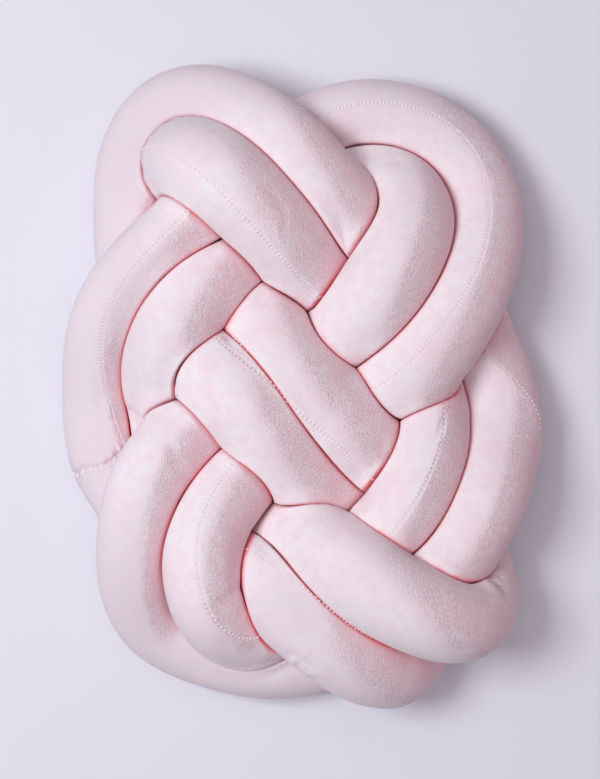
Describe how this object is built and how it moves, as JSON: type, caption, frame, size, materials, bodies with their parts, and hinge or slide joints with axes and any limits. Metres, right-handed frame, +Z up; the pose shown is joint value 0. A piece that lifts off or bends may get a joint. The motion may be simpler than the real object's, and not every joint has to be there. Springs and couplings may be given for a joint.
{
  "type": "knot cushion",
  "caption": "Stuffed velvet tube woven into a flat doubled knot with its ends sewn together, for use as a decorative throw cushion.",
  "frame": {"origin": "middle of the cushion's footprint, on the surface it lies on", "axes": "+Z up out of the surface, the thickness of the cushion; +Y along its long side; +X across it"},
  "size_m": [0.3336, 0.4456, 0.119],
  "materials": {
    "velvet": "pale pink short-pile velvet, soft and matt with a light sheen along its edges"
  },
  "bodies": {
    "root": {"knotted_tube": "velvet"}
  },
  "joints": []
}
